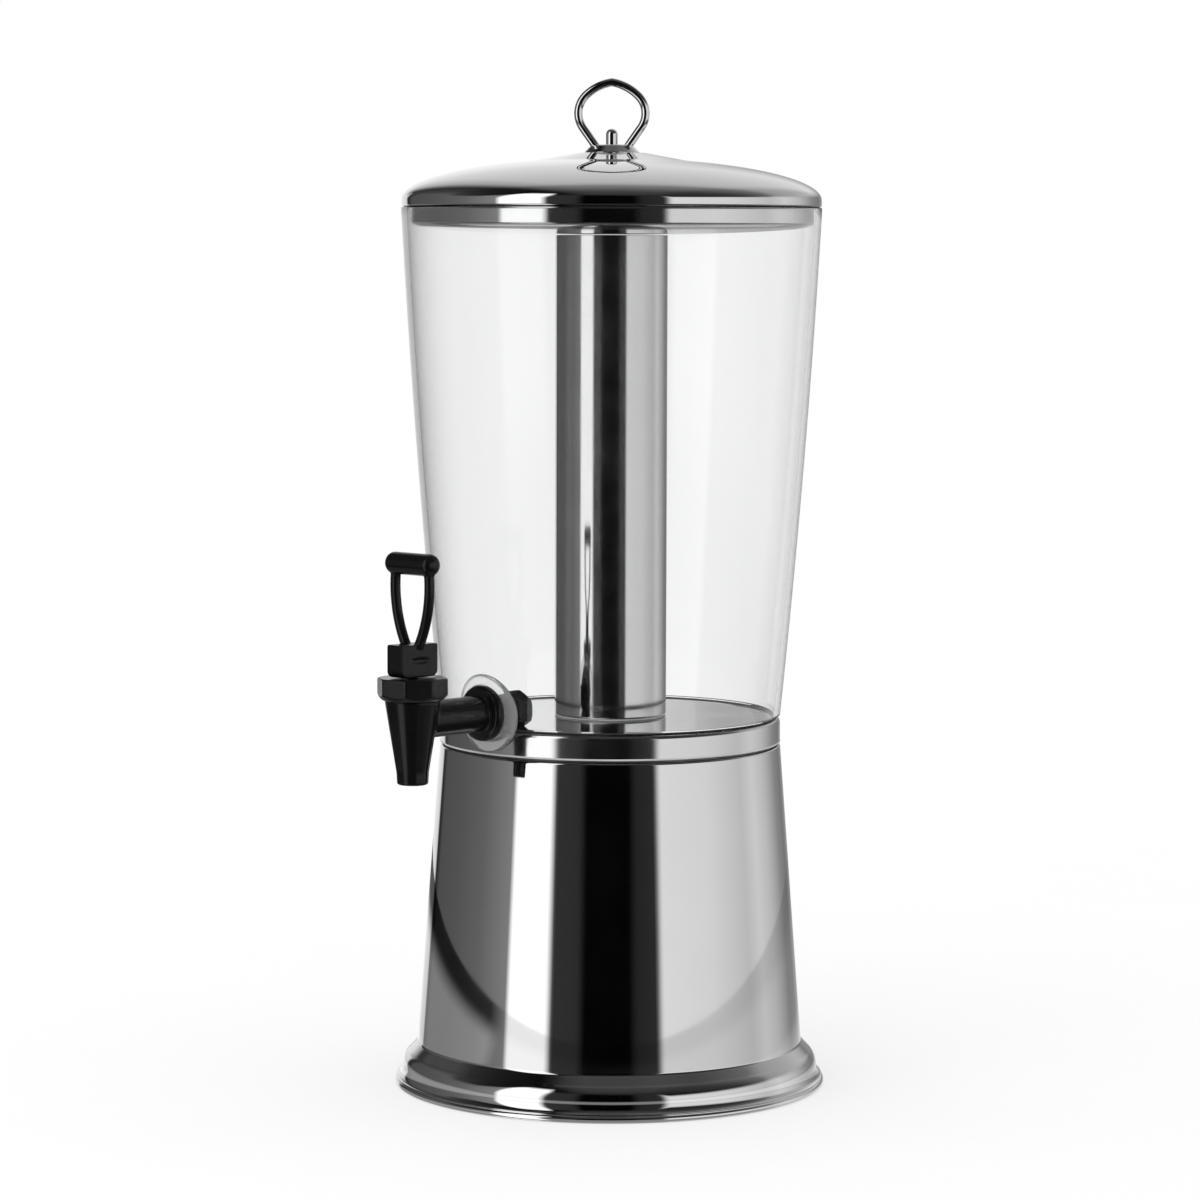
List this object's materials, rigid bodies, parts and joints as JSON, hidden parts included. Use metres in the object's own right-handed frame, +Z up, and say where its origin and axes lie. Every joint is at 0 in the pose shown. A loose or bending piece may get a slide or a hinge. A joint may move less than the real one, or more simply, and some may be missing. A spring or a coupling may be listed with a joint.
{
  "type": "beverage dispenser",
  "caption": "Beverage dispenser: clear tapered container on a polished steel pedestal, with a steel ice tube, a domed lid with a loop handle and a black lever tap.",
  "frame": {"origin": "on the table, in the middle of the base's rolled lip, on the main upright axis", "axes": "+Z up along the main axis, -Y from the main axis to the tap, +X to the right of a person who stands behind the dispenser and looks towards the tap's user"},
  "size_m": [0.23, 0.2791, 0.5348],
  "materials": {
    "polished_steel": "mirror-polished stainless steel sheet",
    "zinc_steel": "plain zinc-plated or stainless hardware",
    "clear_plastic": "clear moulded plastic",
    "black_plastic": "black moulded plastic, satin to gloss",
    "black_rubber": "black rubber",
    "grey_silicone": "grey silicone",
    "white_silicone": "white silicone"
  },
  "bodies": {
    "base": {"base_shell": "polished_steel"},
    "container": {"floor_cap": "polished_steel", "container_seal": "grey_silicone", "container_wall": "clear_plastic", "ice_tube": "polished_steel", "tube_gasket": "grey_silicone", "tube_stud": "zinc_steel", "stud_washer": "zinc_steel", "wing_nut": "zinc_steel", "tap_boss": "clear_plastic", "tap_outer_washer": "black_rubber", "tap_body": "black_plastic", "tap_inner_washer": "black_rubber", "tap_nut": "black_plastic", "tap_bonnet": "black_plastic", "valve_spring": "zinc_steel"},
    "lid": {"lid_dome": "polished_steel", "lid_liner": "polished_steel", "handle_plate": "polished_steel", "loop_handle": "polished_steel", "handle_bolt": "polished_steel", "bolt_washer": "zinc_steel", "bolt_nut": "zinc_steel"},
    "tap_stem": {"valve_stem": "black_plastic", "seat_cup": "white_silicone", "lever_pin": "zinc_steel"},
    "tap_lever": {"tap_lever": "black_plastic"}
  },
  "joints": [
    {"name": "container_lift", "type": "slide", "parent": "base", "child": "container", "axis": [0, 0, 1], "range_m": [0, 0.1]},
    {"name": "lid_lift", "type": "slide", "parent": "container", "child": "lid", "axis": [0, 0, 1], "range_m": [0, 0.15]},
    {"name": "stem_lift", "type": "slide", "parent": "container", "child": "tap_stem", "axis": [0, 0, 1], "range_m": [0, 0.0045], "deforming": ["valve_spring"]},
    {"name": "lever_tilt", "type": "hinge", "parent": "tap_stem", "child": "tap_lever", "pos_m": [0, -0.146, 0.2372], "axis": [1, 0, 0], "range_deg": [0, 30], "stiffness_Nm_per_rad": 0.3, "springref_deg": -11.46}
  ],
  "couplings": [
    {"joint": "stem_lift", "follows": "lever_tilt", "m_per_rad": 0.008}
  ]
}
